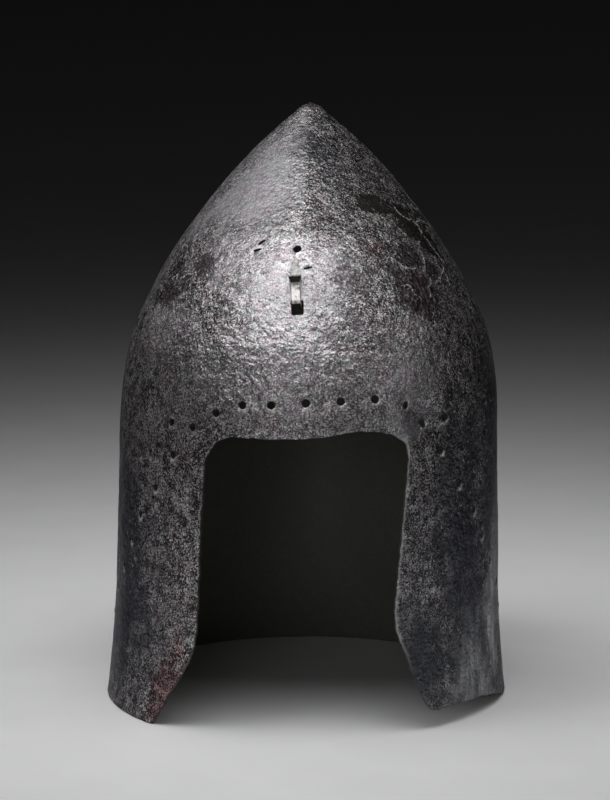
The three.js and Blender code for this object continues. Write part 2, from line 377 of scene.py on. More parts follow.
# Layers of soft noise: height and size of features in millimetres, octaves and seed.
HAMMERED = (0.4, 46, 2, 2)
WAVES = (0.2, 13, 3, 3)
PIT_CLUSTERS = (1, 30, 2, 5)
EDGE_NOTCHES = (1, 7, 2, 6)
EDGE_TEETH = (0.6, 2.4, 2, 7)
HOOK_MARKS = (0.12, 3.2, 3, 8)
SEAM_SWAY = (1.3, 2.5, 3, 9)
PATCH_WOBBLE = (0.5, 12, 4)  # its height is in shares of a patch's size, and its seed is len(kind)
LAYER_SHIFT = Vector((17.3, 5.1, 11.7))  # how far apart two seeds lie in the noise
OCTAVE_FALL = 1.0
OCTAVE_STEP = 2.0

# Pits
PIT_SPACING = 6.5
PIT_RADIUS = 0.42  # in shares of the spacing
PIT_STEEPNESS = 1.5
PIT_DEPTH = 0.4
PIT_SHIFT = Vector((18.5, 46, 107))
PIT_CLUSTER_RANGE = (-0.5, 0.4)  # where in the clusters' layer pits start and where they are all there
EVENED = 0.75  # share of the waves and pits that satin and scale take away
SCALE_LIFT = 0.3


def layer(points, height, size, octaves, seed):
    """Soft noise from about minus to plus a height."""
    shift = LAYER_SHIFT * (seed + 1)
    heights = [noise.fractal(Vector(p) / size + shift, OCTAVE_FALL, OCTAVE_STEP, octaves) for p in points]
    return height * np.array(heights)


def pits_at(points):
    """Round pits from 0 to 1."""
    nearest = np.array([noise.voronoi(Vector(p) / PIT_SPACING + PIT_SHIFT)[0][0] for p in points])
    return np.clip(1 - nearest / PIT_RADIUS, 0, 1) ** PIT_STEEPNESS


def step_up(values, low, high):
    """Rises softly from 0 at the low value to 1 at the high one."""
    t = np.clip((values - low) / (high - low), 0, 1)
    return t * t * (3 - 2 * t)


# Patches on the plate: turn, level, half width and half height in millimetres, lean in degrees, strength.
PATCHES = {
    "scale": (
        (49, 261, 16, 7, -18, 1), (62, 250, 14, 8, -42, 1), (69, 241, 11, 9, -55, 1),
        (72, 231, 9, 11, -60, 0.6), (78, 252, 9, 12, -50, 0.6), (-64, 230, 8, 14, 30, 0.5),
        (-66, 215, 8, 7, 20, 0.6),
    ),
    # Smoother satin iron with fewer bumps; its pale colour is a painted highlight
    "satin": (
        (-30, 272, 34, 34, 0, 1), (-64, 256, 20, 20, 0, 0.5), (-12, 292, 16, 24, 0, 0.7),
        (-34, 227, 4.5, 4, 0, 0.6), (-29, 235, 8, 5, 0, 0.5), (-2, 226, 28, 24, 0, 0.7),
        (2, 200, 20, 14, 0, 0.3), (39, 182, 14, 12, 0, 0.45), (35, 157.5, 10, 5, -12, 0.9),
    ),
    # Painted highlight: paler iron where the lights fall on the brow, the row of holes and the dent's lower
    # ledge
    "worn": (
        (-6, 188, 62, 24, 0, 1), (-48, 196, 34, 22, 0, 0.7), (38, 190, 26, 22, 0, 0.7),
        (0, 166, 70, 13, 0, 0.6), (-11, 244, 36, 19, 0, 1), (33, 172, 13, 24, 0, 1),
    ),
    "rust": (
        (-41, 20, 18, 8, 58, 1), (-36, 40, 6, 12, 0, 0.6), (53, 227, 4.5, 4, 0, 0.7), (36, 243, 6, 5, 0, 0.5),
        (152, 150, 20, 30, 10, 0.5), (212, 90, 26, 18, -10, 0.6),
    ),
    "purple": (
        (-57.5, 218.6, 12, 7, 8, 1), (-45, 234, 9, 8, 30, 1), (-61, 229, 8, 6, 0, 0.9),
        (-51, 225, 10, 7, 0, 0.7), (53, 237, 8, 8, -20, 1), (50, 223, 15, 9, -10, 1), (49, 215, 13, 6, 0, 1),
        (41.5, 232, 7, 6, 0, 0.9), (62, 228, 7, 10, 0, 0.8), (22, 230, 11, 10, 0, 0.6),
        (128, 224, 26, 14, -14, 0.7), (196, 240, 20, 16, 0, 0.6),
    ),
    # Dull blue-grey iron on the cheeks and at the back, and painted shade in the dent's crease, beside the
    # dent and on the skull beside the keel to the wearer's left
    "blue": (
        (-63, 56, 32, 42, 0, 1), (-68, 98, 28, 44, 0, 1), (-84, 130, 16, 50, 0, 0.7), (56, 92, 28, 44, 0, 1),
        (60, 138, 13, 24, 0, 0.9), (60, 45, 34, 50, 0, 1), (38, 34, 26, 44, 0, 1), (78, 130, 24, 60, 0, 0.9),
        (160, 60, 40, 36, 0, 0.5), (40.3, 168.3, 6, 1.9, -30, 0.9), (12, 288, 9, 17, 0, 0.5),
        (42, 268, 14, 12, 0, 0.3), (50, 153, 8, 15, 0, 0.9), (50, 128, 16, 36, 0, 0.8),
        (40, 106, 16, 44, 0, 0.45),
    ),
    # Painted reflection of the bright floor, in streaks down the outer side of the wearer's-left cheek
    "streak": (
        (64, 20, 22, 30, 0, 0.5), (75, 46, 11, 28, 0, 1), (80, 74, 10, 24, 0, 0.5),
    ),
    "bare": (
        (4.7, 238.1, 3, 2.4, 30, 0.55), (-6.5, 236.6, 2.6, 2, -20, 0.5),
    ),
}
# How far from its middle a patch starts and stops fading, in shares of its half width.
FADE = (0.7, 1.2)
SOFT_FADE = {
    "satin": (0.3, 1.5),
    "worn": (0.5, 1.5),
    "purple": (0.4, 1.4),
    "blue": (0.2, 1.6),
    "streak": (0, 1.6),
}
PATCH_FACING = 0.2  # least cosine between the normals at a point of a patch and at its middle
KEEL_START = 248  # above this level a satin patch, and its painted highlight, stops at the keel
PAST_KEEL = 0.1  # share of it that is left there

# Seams where broken scale has a bright lip, each as places of turn and level.
SEAMS = (
    ((54.2, 258.7), (55.9, 255.3), (60.2, 253.4), (66.5, 250.3), (68.9, 242.4), (70.9, 236.2), (73.6, 230.3)),
    ((66.5, 250.3), (73.9, 250.8), (80.4, 249)),
    ((68, 233.8), (67.7, 229), (70.9, 225.5), (69.3, 220.9)),
    ((60.4, 236.9), (58.1, 233), (56.7, 229)),
    ((41.7, 225.6), (44.7, 224.3), (46.5, 221.2), (48.4, 218.1)),
    ((57.9, 225.5), (55, 221.7), (54.2, 217.6)),
    ((60.4, 223.1), (66.1, 225.4), (71.1, 228.4)),
    ((43.5, 235), (47, 231.5), (51.5, 231)),
    ((-60.5, 224), (-58, 226.5), (-57.5, 222.5)),
    ((-55, 225), (-51.5, 227.5), (-47, 229)),
    ((-48, 222), (-45.5, 224.5), (-41, 226)),
    ((-51.5, 233.5), (-48, 234.5)),
)
SEAM_STEP = 0.8
SEAM_HALF_WIDTH = 0.7
SEAM_CLEARANCE = 0.7 * SEAM_HALF_WIDTH  # of a seam's side from the middle of any seam
SEAM_LIFT = 0.4

# The lining holes' lips, painted bright on one side as a highlight
LIP_DIRECTION = np.array((0.5, 0, -0.87))
LIP_RANGE = (0.3, 0.9)  # how closely a place on a lip lies in that direction, from none of it to all of it
LIP_WIDTH = 2
BROW_LIP = 0.5  # strength at the brow's holes; at the others it is 1

# Painted highlight along the face opening's edge on the wearer's left, by level
EDGE_LIP = 0.4
EDGE_LIP_START = 30
EDGE_LIP_RISE = 30
EDGE_LIP_STOP = BROW
EDGE_LIP_FALL = 6
EDGE_LIP_FRONT = -52.5  # it lies in front of this y


def patch_mask(kind, points, normals):
    """How far each point lies in the patches of a kind, with uneven outlines."""
    fade_start, fade_stop = SOFT_FADE.get(kind, FADE)
    wobble = layer(points, *PATCH_WOBBLE, seed=len(kind))
    mask = np.zeros(len(points))
    for turn, z, wide, tall, lean, strength in PATCHES[kind]:
        centre, across, up, out = tangents(turn, z)
        lean = math.radians(lean)
        right = (points - centre) @ across
        high = (points - centre) @ up
        along = right * math.cos(lean) + high * math.sin(lean)
        aside = high * math.cos(lean) - right * math.sin(lean)
        far = np.hypot(along / wide, aside / tall) + wobble
        here = strength * step_up(-far, -fade_stop, -fade_start) * (normals @ out > PATCH_FACING)
        if kind == "satin":
            over_keel = math.copysign(1, turn) * (points[:, 0] - sway(points[:, 2])) < 0
            here[over_keel & (points[:, 2] > KEEL_START)] *= PAST_KEEL
        mask = np.maximum(mask, here)
    return mask


def seam_places():
    """The seams as a middle row with a lower row on each side: turns, levels and 1 in the middle."""
    middles = []
    sides = []
    for seam in SEAMS:
        turns, levels = np.array(seam, float).T
        line = even_line(smooth_point(np.radians(turns), levels), SEAM_STEP, closed=False)
        aside = unit(np.cross(np.gradient(line, axis=0), plate_normal(*locate(line))))
        line = line + aside * layer(line, *SEAM_SWAY)[:, None]
        middles.append(line)
        sides += [line + aside * SEAM_HALF_WIDTH, line - aside * SEAM_HALF_WIDTH]
    middle = np.vstack(middles)
    side = np.vstack(sides)
    side = side[clear_of(side, middle, SEAM_CLEARANCE)]
    return (*locate(np.vstack([middle, side])), np.concatenate([np.ones(len(middle)), np.zeros(len(side))]))


def painted_edge_highlight(points):
    """How far each point of the free edge lies under its painted highlight."""
    x, y, level = points.T
    lit_part = (x > 0) & (y < EDGE_LIP_FRONT)
    above = step_up(level, EDGE_LIP_START, EDGE_LIP_START + EDGE_LIP_RISE)
    below = step_up(-level, -EDGE_LIP_STOP, -EDGE_LIP_STOP + EDGE_LIP_FALL)
    return EDGE_LIP * lit_part * above * below


def painted_lip_highlights(points, edge_count):
    """How far each point lies under the painted highlight of a lip. The free edge's points come first."""
    lips = np.zeros(len(points))
    lips[:edge_count] = painted_edge_highlight(points[:edge_count])
    for number, (turn, z) in enumerate(hole_places()):
        centre, _, _, _ = tangents(turn, z)
        arm = points - centre
        far = np.linalg.norm(arm, axis=1)
        near = np.flatnonzero(far < HOLE_RADIUS + LIP_WIDTH)
        strength = BROW_LIP if number < len(BROW_HOLES) else 1
        fade = step_up(-far[near], -HOLE_RADIUS - LIP_WIDTH, -HOLE_RADIUS - LIP_WIDTH / 2)
        lips[near] = strength * fade * step_up(unit(arm[near]) @ LIP_DIRECTION, *LIP_RANGE)
    return lips


def relief(points, masks):
    """How far the corroded outside stands out of the even plate, in millimetres."""
    pits = pits_at(points) * step_up(layer(points, *PIT_CLUSTERS), *PIT_CLUSTER_RANGE)
    rough = 1 - EVENED * np.maximum(masks["satin"], masks["scale"])
    corroded = rough * (layer(points, *WAVES) - PIT_DEPTH * pits)
    lips = np.maximum(masks["seam"], masks["lip"])
    return layer(points, *HAMMERED) + corroded + SCALE_LIFT * masks["scale"] + SEAM_LIFT * lips


# The plate's mesh

OUTER_CLEARANCE = 0.6 * OUTER_SPACING  # of loose places from what is fixed
INNER_CLEARANCE = 0.5 * INNER_SPACING
LEAST_IN_ROW = 6
INNER_STOP = 9  # how far below the point the inside's rows stop
POINT_THICKNESS = 2.3 * WALL  # at the skull's point
CHART_TOLERANCE = 1e-9
RIDGES = ((0, 250), (180, 222))  # where the keel starts, as turn and level
EVEN_RIM = 6  # the free edge is less ragged below this level
RAGGED_ROOM = 0.6  # how far the free edge is set back for its teeth, in shares of their size
INNER_EDGE = 0.3  # share of the edge's look on its inner side


def rows_of_places(spacing):
    """Places all over the plate in staggered rows, as turns and levels."""
    turns = []
    levels = []
    row_height = spacing * math.sqrt(0.75)  # as in even triangles
    for row, climb in enumerate(np.arange(row_height / 2, CLIMB[-1] - 2 * spacing, row_height)):
        z = np.interp(climb, CLIMB, LEVELS)
        girth = 2 * math.pi * math.hypot(half(z), reach(z)) / math.sqrt(2)
        count = max(LEAST_IN_ROW, round(girth / spacing))
        turns.append((np.arange(count) + 0.5 * (row % 2)) * 2 * math.pi / count)
        levels.append(np.full(count, z))
    return np.concatenate(turns), np.concatenate(levels)


def clear_of(points, fixed, distance):
    """Which points are further than a distance from every fixed one."""
    tree = KDTree(len(fixed))
    for i, p in enumerate(fixed):
        tree.insert(p, i)
    tree.balance()
    return np.array([tree.find(p)[2] > distance for p in points])


def loose_places(spacing, polygons, fixed, clearance):
    """Places inside the free edge, outside the holes and clear of what is fixed."""
    turn, z = rows_of_places(spacing)
    flat = chart(turn, z)
    keep = inside(polygons[0], flat)
    for polygon in polygons[1:]:
        low, high = polygon.min(axis=0), polygon.max(axis=0)
        near = np.flatnonzero(((flat > low) & (flat < high)).all(axis=1))
        keep[near[inside(polygon, flat[near])]] = False
    turn, z = turn[keep], z[keep]
    keep = clear_of(smooth_point(turn, z), fixed, clearance)
    return turn[keep], z[keep]


def on_metal(triangles, points, polygons, starts):
    """Which triangles lie on the plate. One in the open has all its corners on one loop."""
    owner = np.full(len(points), -1)
    for i, polygon in enumerate(polygons):
        owner[starts[i]:starts[i] + len(polygon)] = i
    owners = owner[triangles]
    shared = (owners == owners[:, :1]).all(axis=1)
    keep = np.ones(len(triangles), bool)
    centres = points[triangles].mean(axis=1)
    for i, polygon in enumerate(polygons):
        mine = np.flatnonzero(shared & (owners[:, 0] == i))
        within = inside(polygon, centres[mine])
        keep[mine] = within if i == 0 else ~within
    return keep


def triangulated(polygons, chains, loose):
    """Triangles between the free edge and the holes. Points are counted in the order they are given."""
    apex = np.zeros((1, 2))
    groups = [*polygons, *chains, loose, apex]
    points = np.vstack(groups)
    starts = np.cumsum([0] + [len(group) for group in groups])
    edges = []
    for start, polygon in zip(starts, polygons):
        count = len(polygon)
        edges += [(int(start + i), int(start + (i + 1) % count)) for i in range(count)]
    for start, chain in zip(starts[len(polygons):], chains):
        edges += [(int(start + i), int(start + i + 1)) for i in range(len(chain) - 1)]
    vectors = [Vector(p) for p in points]
    whole_hull = 0  # triangles over the openings too
    _, _, faces, sources, _, _ = delaunay_2d_cdt(vectors, edges, [], whole_hull, CHART_TOLERANCE)
    origin = np.array([source[0] for source in sources])
    triangles = origin[np.array(faces)]
    triangles = triangles[on_metal(triangles, points, polygons, starts)]
    a, b, c = (points[triangles[:, i]] for i in range(3))
    turned = (b - a)[:, 0] * (c - a)[:, 1] - (b - a)[:, 1] * (c - a)[:, 0] < 0
    triangles[turned] = triangles[turned][:, ::-1]
    return triangles


def ridge_chains():
    """Rows of places along the keel, which keep it sharp."""
    chains = []
    for turn, start in RIDGES:
        climb = np.arange(np.interp(start, LEVELS, CLIMB), CLIMB[-1] - 2 * OUTER_SPACING, OUTER_SPACING)
        z = np.interp(climb, CLIMB, LEVELS)
        chains.append((np.full(len(z), math.radians(turn)), z))
    return chains


def edge_directions(points, normals):
    """Directions along a loop's surface from its metal into the open."""
    ahead = np.roll(points, -1, axis=0) - np.roll(points, 1, axis=0)
    return unit(np.cross(ahead, normals))


def set_back(turn, z, rounding, ragged):
    """A loop moved into the metal to leave room for its rounded edge, with a slightly uneven line."""
    points = dented_point(turn, z)
    away = edge_directions(points, plate_normal(turn, z))
    uneven = ragged * (layer(points, *EDGE_NOTCHES) + layer(points, *EDGE_TEETH))
    above_rim = step_up(z, 0, EVEN_RIM)
    return locate(points - away * (rounding + RAGGED_ROOM * ragged + uneven * above_rim)[:, None])


def fitted_loops():
    """The plate's loops, set back for their rounded edges. Only the free edge is ragged."""
    loops = []
    for i, (turn, z, rounding) in enumerate(plate_loops()):
        ragged = EDGE_RAGGED if i == 0 else 0
        loops.append((*set_back(turn, z, rounding, ragged), rounding))
    return loops


def skull_point():
    """The plate's highest place, as a row of one point."""
    return smooth_point(0.0, float(HEIGHT))[None]


class MeshParts:
    """Points with their values, and triangles, gathered part by part."""

    def __init__(self, kinds):
        self.points = []
        self.values = {kind: [] for kind in kinds}
        self.faces = []
        self.count = 0

    def add(self, points, values):
        """Adds points and returns their numbers. A value that isn't given is 0."""
        size = len(points)
        for kind, gathered in self.values.items():
            gathered.append(np.broadcast_to(values.get(kind, 0.0), size))
        self.points.append(points)
        self.count += size
        return np.arange(self.count - size, self.count)

    def arrays(self):
        """All the points, all the triangles and all the values."""
        values = {kind: np.concatenate(gathered) for kind, gathered in self.values.items()}
        return np.vstack(self.points), np.vstack(self.faces), values


def add_edge(parts, here, base, normals, rounding, values):
    """Rounds the edge from one loop of the outside to the inside. Returns the last ring's numbers."""
    away = edge_directions(base, normals)
    slant = math.sqrt(0.5)
    # How far each ring lies into the open and below the outside, then its shares of edge and of hollow.
    rings = (
        (slant * rounding, (1 - slant) * rounding, 1, 0),
        (rounding, rounding, 1, 0),
        (rounding, WALL - rounding, 1, 1),
        (slant * rounding, WALL - (1 - slant) * rounding, INNER_EDGE, 1),
        (0, WALL, INNER_EDGE, 1),
    )
    for open_side, sunk, edge, hollow in rings:
        place = base + away * open_side - normals * sunk
        ring = parts.add(place, {**values, "edge": edge, "hollow": hollow})
        following, ring_following = np.roll(here, -1), np.roll(ring, -1)
        parts.faces.append(np.stack([here, ring, ring_following], axis=-1))
        parts.faces.append(np.stack([here, ring_following, following], axis=-1))
        here = ring
    return here


def outer_places(loops, polygons, chains):
    """Turns and levels of loose places and then of the seams', and the seams' values."""
    seam_turn, seam_level, seam = seam_places()
    fixed = [smooth_point(turn, z) for turn, z, *_ in (*loops, *chains)]
    fixed.append(smooth_point(seam_turn, seam_level))
    turn, z = loose_places(OUTER_SPACING, polygons, np.vstack(fixed), OUTER_CLEARANCE)
    return np.concatenate([turn, seam_turn]), np.concatenate([z, seam_level]), seam


def add_outside(parts, loops, polygons):
    """Adds the corroded outside and the rounded edges. Returns each edge's last ring."""
    chains = ridge_chains()
    outer_turn, outer_level, seam = outer_places(loops, polygons, chains)
    turn = np.concatenate([*(row[0] for row in (*loops, *chains)), outer_turn])
    z = np.concatenate([*(row[1] for row in (*loops, *chains)), outer_level])
    skin = dented_point(turn, z)
    normals = plate_normal(turn, z)
    masks = {kind: patch_mask(kind, skin, normals) for kind in PATCHES}
    masks["lip"] = painted_lip_highlights(skin, len(loops[0][0]))
    masks["seam"] = np.concatenate([np.zeros(len(skin) - len(seam)), seam])
    out = skin + normals * relief(skin, masks)[:, None]
    out[:, 2] = np.maximum(out[:, 2], FREE_EDGE_ROUND)
    parts.add(out, masks)
    parts.add(skull_point(), {})
    flat_chains = [chart(*chain) for chain in chains]
    parts.faces.append(triangulated(polygons, flat_chains, chart(outer_turn, outer_level)))
    start = 0
    last_rings = []
    for loop_turn, _, rounding in loops:
        here = np.arange(start, start + len(loop_turn))
        values = {kind: mask[here] for kind, mask in masks.items()}
        last_rings.append(add_edge(parts, here, out[here], normals[here], rounding, values))
        start += len(loop_turn)
    return last_rings


def add_inside(parts, loops, polygons, last_rings):
    """Adds the inside's even skin, joined to the last rings of the edges."""
    fixed = np.vstack([smooth_point(turn, z) for turn, z, _ in loops])
    turn, z = loose_places(INNER_SPACING, polygons, fixed, INNER_CLEARANCE)
    low = z < np.interp(CLIMB[-1] - INNER_STOP, CLIMB, LEVELS)
    turn, z = turn[low], z[low]
    skin = dented_point(turn, z)
    rise = layer(skin, *HAMMERED) - WALL
    numbers = parts.add(skin + plate_normal(turn, z) * rise[:, None], {"hollow": 1})
    top = parts.add(skull_point() - (0, 0, POINT_THICKNESS), {"hollow": 1})
    faces = triangulated(polygons, [], chart(turn, z))
    parts.faces.append(np.concatenate([*last_rings, numbers, top])[faces][:, ::-1])


def bowl_mesh():
    """The whole plate as points, triangles and the values that its material reads."""
    loops = fitted_loops()
    polygons = [chart(turn, z) for turn, z, _ in loops]
    parts = MeshParts([*PATCHES, "lip", "seam", "edge", "hollow"])
    last_rings = add_outside(parts, loops, polygons)
    add_inside(parts, loops, polygons, last_rings)
    return parts.arrays()


def mesh_object(name, points, faces, values):
    """A smooth-shaded object from millimetre points, with a number per point for each kind of value."""
    mesh = bpy.data.meshes.new(name)
    mesh.vertices.add(len(points))
    mesh.vertices.foreach_set("co", (points * MM).astype(np.float32).ravel())
    mesh.loops.add(faces.size)
    mesh.loops.foreach_set("vertex_index", faces.astype(np.int32).ravel())
    mesh.polygons.add(len(faces))
    mesh.polygons.foreach_set("loop_start", np.arange(0, faces.size, 3, dtype=np.int32))
    mesh.update(calc_edges=True)
    mesh.validate()
    mesh.shade_smooth()
    for kind, numbers in values.items():
        attribute = mesh.attributes.new(kind, "FLOAT", "POINT")
        attribute.data.foreach_set("value", numbers.astype(np.float32))
    made = bpy.data.objects.new(name, mesh)
    bpy.context.scene.collection.objects.link(made)
    return made


# The hook, in its own frame: out of the plate and up along it, as in the solid.
HOOK_NOSE = 8.9
HOOK_INSIDE = -WALL - SEAT_GAP
HOOK_SIDE = (
    (SEAT_GAP, 13.2), (2.2, 12.6), (HOOK_NOSE, 1.4), (HOOK_NOSE - 0.5, 0), (2.9, -0.4), (2.6, -10.6),
    (1.6, -11.9), (HOOK_INSIDE - 1.7, -11.9), (HOOK_INSIDE - 2.4, -11.2), (HOOK_INSIDE - 2.1, 1),
    (HOOK_INSIDE - 0.1, 1.2), (HOOK_INSIDE - 0.4, -9.6), (0, -9.6), (SEAT_GAP, 2), (HOOK_NOSE - 3.2, 2.4),
    (SEAT_GAP + 0.3, 10.6),
)
HOOK_HALF_WIDTHS = ((-14, 2.3), (-0.4, 2.3), (0, 3.4), (1.4, 3.4), (15, 1.3))  # by how far up the plate
HOOK_BEVEL = 0.3
HOOK_BEVEL_STEPS = 2
HOOK_VOXEL = 0.3
HOOK_SOFTENING = 0.5
HOOK_SOFTEN_ROUNDS = 3
HOOK_SINK = 0.08  # moves the roughened surface in
PAINTED_SHADE_RANGE = (0.1, 0.5)  # by how far a face looks down, from no painted shade to all of it


def hook_strip():
    """The bent strip with bevelled edges, as a mesh."""
    levels, widths = np.array(HOOK_HALF_WIDTHS).T
    origin, across, up, out = hook_frame()
    work = bmesh.new()
    sides = []
    for side in (-1, 1):
        ring = []
        for far, high in HOOK_SIDE:
            place = origin + out * far + up * high + across * side * np.interp(high, levels, widths)
            ring.append(work.verts.new(place * MM))
        sides.append(ring)
    count = len(HOOK_SIDE)
    for i in range(count):
        j = (i + 1) % count
        work.faces.new((sides[0][i], sides[0][j], sides[1][j], sides[1][i]))
    work.faces.new(sides[0][::-1])
    work.faces.new(sides[1])
    bmesh.ops.recalc_face_normals(work, faces=work.faces[:])
    bmesh.ops.bevel(work, geom=work.edges[:], offset=HOOK_BEVEL * MM, offset_type="OFFSET",
                    segments=HOOK_BEVEL_STEPS, profile=0.5, affect="EDGES", clamp_overlap=True)
    bmesh.ops.triangulate(work, faces=work.faces[:])
    mesh = bpy.data.meshes.new("brow_hook_forged")
    work.to_mesh(mesh)
    work.free()
    return mesh


def hook_object():
    """The strip, remeshed finely and roughened as forged iron is."""
    made = bpy.data.objects.new("brow_hook_forged", hook_strip())
    bpy.context.scene.collection.objects.link(made)
    remesh = made.modifiers.new("even", "REMESH")
    remesh.mode = "VOXEL"
    remesh.voxel_size = HOOK_VOXEL * MM
    smooth = made.modifiers.new("soften", "SMOOTH")
    smooth.factor = HOOK_SOFTENING
    smooth.iterations = HOOK_SOFTEN_ROUNDS
    shown = made.evaluated_get(bpy.context.evaluated_depsgraph_get())
    made.data = bpy.data.meshes.new_from_object(shown)
    made.modifiers.clear()
    roughen_hook(made.data)
    made.data.shade_smooth()
    return made


def roughen_hook(mesh):
    """Adds hammer marks, and a value for the painted shade on faces that look down."""
    points = np.array([v.co for v in mesh.vertices]) / MM
    normals = np.array([v.normal for v in mesh.vertices])
    rough = layer(points, *HOOK_MARKS) - HOOK_SINK
    marked = points + normals * rough[:, None]
    mesh.vertices.foreach_set("co", (marked * MM).astype(np.float32).ravel())
    mesh.update()
    painted_shade = mesh.attributes.new("painted_shade", "FLOAT", "POINT")
    painted_shade.data.foreach_set("value", step_up(-normals[:, 2], *PAINTED_SHADE_RANGE).astype(np.float32))


# Materials

# Noise in the plate's iron: size in millimetres, detail and roughness.
PLATE_NOISE = {
    "grain": (0.85, 2, 0.6),
    "wrinkles": (2, 1, 0.4),
    "folds": (4.5, 1, 0.5),
    "clumps": (5, 3, 0.6),
    "clouds": (26, 3, 0.55),
    "tints": (7, 2, 0.5),
    "breaks": (3, 3, 0.7),
    "gaps": (1.2, 2, 0.6),
}
# The streaky pattern of the painted reflection
STREAK_NOISE = (6, 3, 0.6)
STREAK_STRETCH = (1.2, 1.2, 0.25)
SPECKLE = (("grain", 0.6), ("clumps", 0.28), ("clouds", 0.12))  # shares of noise in the speckled tones

# Tones of the plate: places on a scale of noise, with a colour at each.
# Speckled iron; its palest specks also stand in for glints off the pits, a painted highlight
SPECKS_AND_GLINTS = ((0.43, (0.032, 0.03, 0.031)), (0.5, (0.115, 0.11, 0.113)), (0.585, (0.68, 0.66, 0.67)))
# Tones of the painted highlight
PAINTED_HIGHLIGHT_TONES = ((0.41, (0.17, 0.162, 0.169)), (0.5, (0.36, 0.345, 0.357)), (0.6, (0.72, 0.695, 0.71)))
# Pale satin tones, which paint the smooth planes' highlight
SMOOTH = ((0.36, (0.3, 0.293, 0.308)), (0.64, (0.5, 0.49, 0.51)))
TINTS = ((0.38, (1, 0.9, 0.94)), (0.5, (0.98, 0.98, 1)), (0.62, (0.94, 1, 0.96)))
# Dark dull tones: the blue-grey iron, and painted shade
DULL_AND_SHADE_TONES = ((0.42, (0.042, 0.044, 0.05)), (0.54, (0.06, 0.063, 0.071)), (0.65, (0.1, 0.104, 0.113)))
# Tones of the painted reflection
PAINTED_REFLECTION_TONES = ((0.36, (0.3, 0.306, 0.318)), (0.64, (0.86, 0.87, 0.89)))
CLOUD_SHADE = (0.5, 0.47, 0.46)
CLOUD_RANGE = (0.45, 0.62, 0, 0.5)  # start and stop on the scale of noise, and the shares of shade there

# Coats over the speckled iron from first to last, and how much each one hides.
COATS = {
    "worn": 0.85,
    "satin": 0.85,
    "tint": 0.5,
    "blue": 0.96,
    "streak": 0.9,
    "purple": 0.8,
    "scale": 0.92,
    "rust": 0.75,
    "lip": 0.9,
    "bare": 0.6,
    "edge": 0.7,
    "hollow": 0.95,
}
SHADING_COATS = ("tint", "rust")  # these multiply what lies under them
PLAIN_COATS = {
    "purple": (0.045, 0.033, 0.038),
    "scale": (0.026, 0.023, 0.02),
    "rust": (0.72, 0.36, 0.36),
    # pale metal on the seams of broken scale, and painted highlight on the holes' lips and the opening's edge
    "lip": (0.85, 0.83, 0.82),
    "bare": (0.7, 0.68, 0.67),
    "edge": (0.05, 0.048, 0.047),
    "hollow": (0.125, 0.125, 0.105),
}
EVEN_OUTLINES = ("worn", "satin", "blue", "streak", "edge", "hollow")
BROKEN_OUTLINES = {"scale": 0.15, "rust": 0.45, "purple": 0.45, "bare": 0.15}  # with how softly each one ends
OUTLINE = 0.5  # the value at which a coat with a broken outline ends
NOISE_MIDDLE = 0.5
BREAK_REACH = 3  # how far noise moves a broken outline
SEAM_GAPS = (0.38, 0.54)  # where on the scale of noise a seam is gone and where it is whole

# The plate's surface
GRAIN_HEIGHT = 0.35  # beside 1 for wrinkles and for folds
PLATE_BUMP = 0.56
EVENED_COATS = (("satin", 0.5), ("scale", 0.8), ("hollow", 0.8))  # how much of the bumps each one takes away
SCALE_DULLS = 0.3
BLUE_SHINES = 0.2
PLATE_ROUGHNESS = (0.2, 0.8, 0.28, 0.48)  # range of sheen, then the roughness at its ends
PLATE_METALLIC = 0.85
DULL_GRAZING = (0.3, 0.3, 0.32, 1)  # how much of the light that skims the iron it throws back

# The hook's iron
HOOK_GRAIN = (0.9, 3, 0.6)
HOOK_CLUMPS = (2.6, 3, 0.6)
HOOK_GRAIN_SHARE = 0.4
HOOK_CLUMP_SHARE = 0.6
# Pale tones, a painted highlight of the hook's lit faces
HOOK_HIGHLIGHT_TONES = ((0.38, (0.17, 0.16, 0.155)), (0.46, (0.66, 0.645, 0.63)), (0.58, (0.92, 0.9, 0.88)))
# Painted shade on the hook's faces that look down, and how much of the iron it hides
PAINTED_SHADE_COLOUR = (0.02, 0.018, 0.015)
PAINTED_SHADE_SHARE = 0.97
HOOK_GRAIN_HEIGHT = 0.5  # beside 1 for clumps
HOOK_BUMP = 0.22
HOOK_ROUGHNESS = (0.35, 0.65, 0.4, 0.6)
HOOK_METALLIC = 0.35

# The floor
FLOOR_MOTTLE = (60, 3, 0.5)
FLOOR_TONES = ((0.3, (0.9, 0.9, 0.91)), (0.7, (0.94, 0.94, 0.95)))
FLOOR_GRAIN = (3, 2, 0.5)
FLOOR_BUMP = 0.05
FLOOR_ROUGHNESS = 0.7


